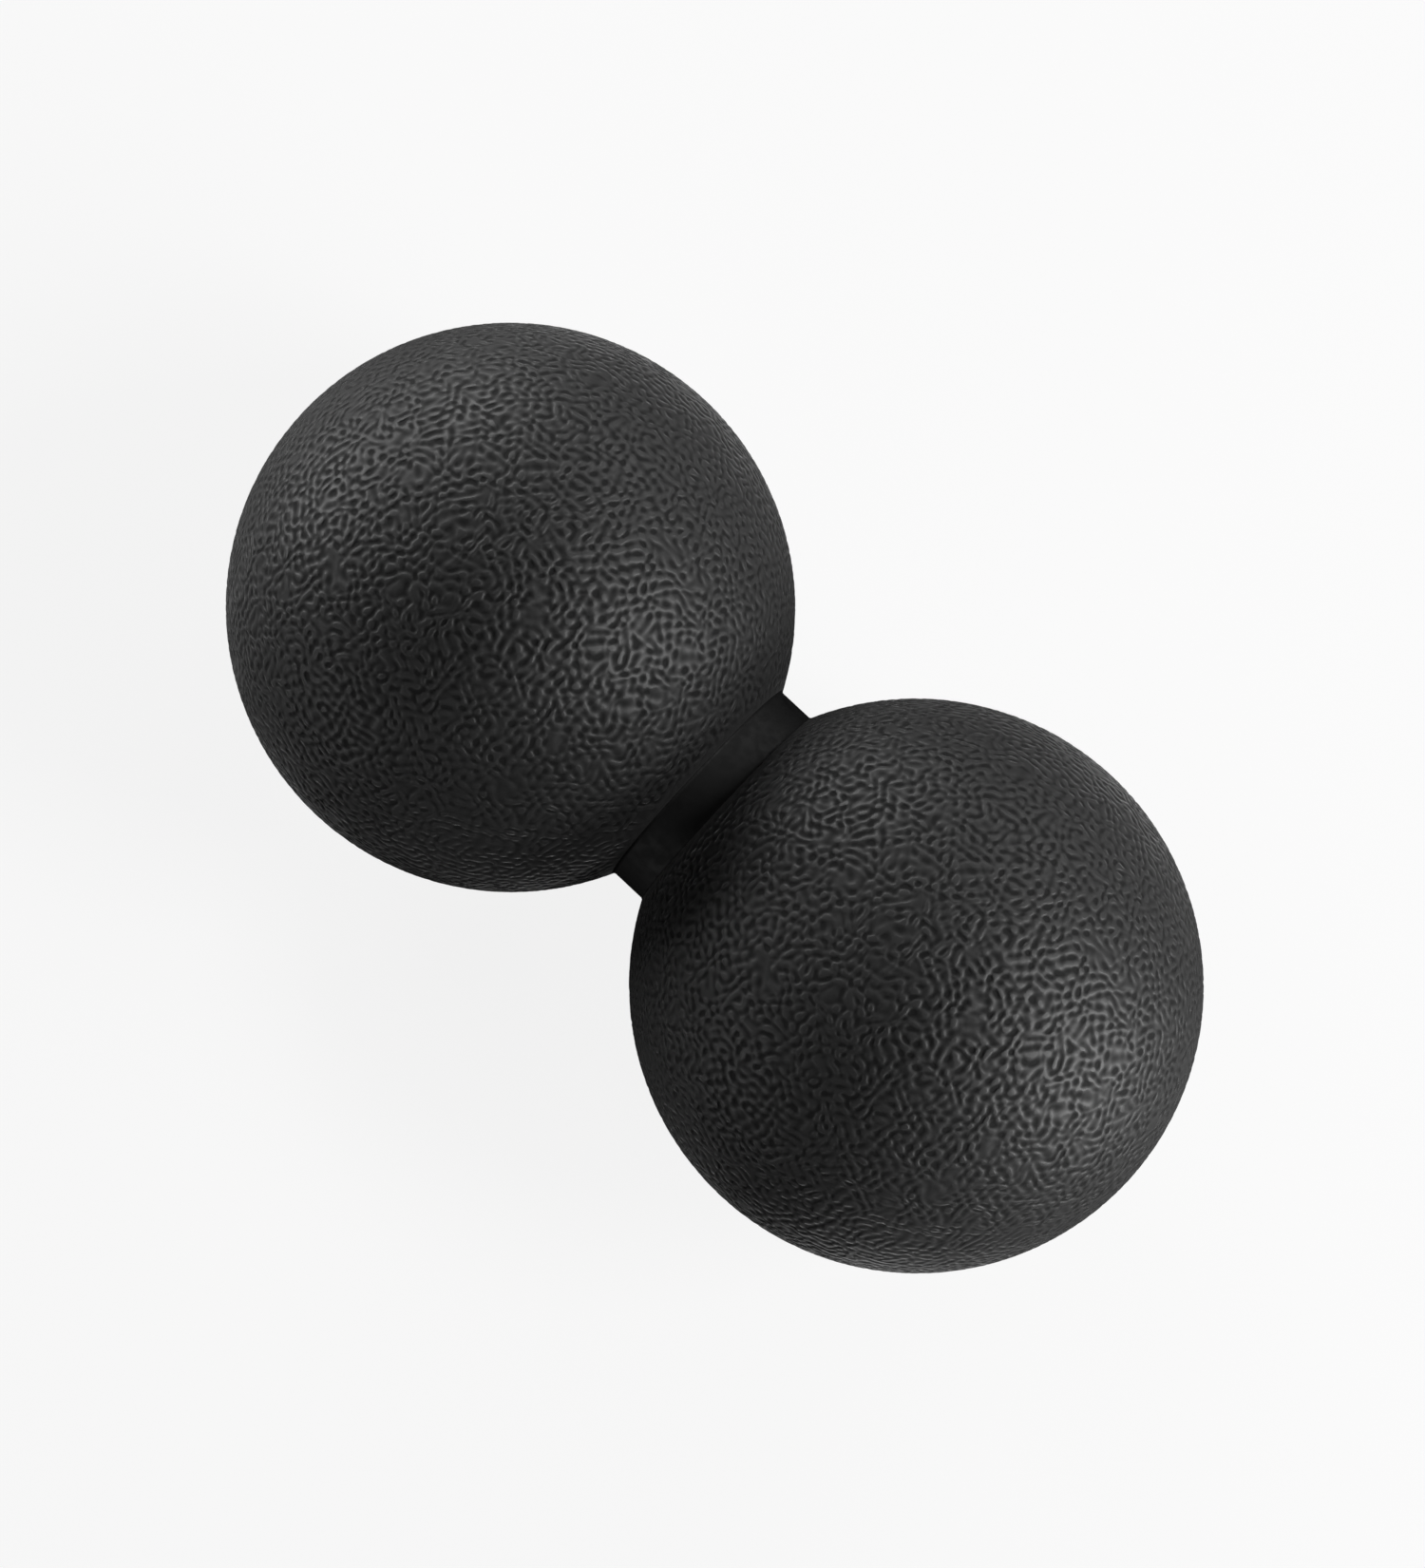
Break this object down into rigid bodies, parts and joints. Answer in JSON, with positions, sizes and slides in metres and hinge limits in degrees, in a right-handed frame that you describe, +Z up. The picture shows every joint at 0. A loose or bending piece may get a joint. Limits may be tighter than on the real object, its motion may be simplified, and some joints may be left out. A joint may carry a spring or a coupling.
{
  "type": "massage ball",
  "caption": "Peanut-shaped massage ball: grained rubber-covered balls joined by a short smooth neck, rolled along the back, neck or feet.",
  "frame": {"origin": "the middle of the neck, on the long axis", "axes": "+X along the long axis from the left ball to the right ball, +Z up when it lies on a floor, +Y level across it"},
  "size_m": [0.124, 0.063, 0.063],
  "materials": {
    "cover_rubber": "charcoal-black rubber with a fine moulded leather grain, semi-matt",
    "collar_rubber": "smooth black rubber without grain, satin",
    "core_foam": "dark grey closed-cell foam, matt",
    "tie_plastic": "dark grey moulded plastic, matt"
  },
  "bodies": {
    "root": {"left_ball_cover": "cover_rubber", "right_ball_cover": "cover_rubber", "neck_collar": "collar_rubber", "left_foam_core": "core_foam", "right_foam_core": "core_foam", "tie_core": "tie_plastic"}
  },
  "joints": []
}
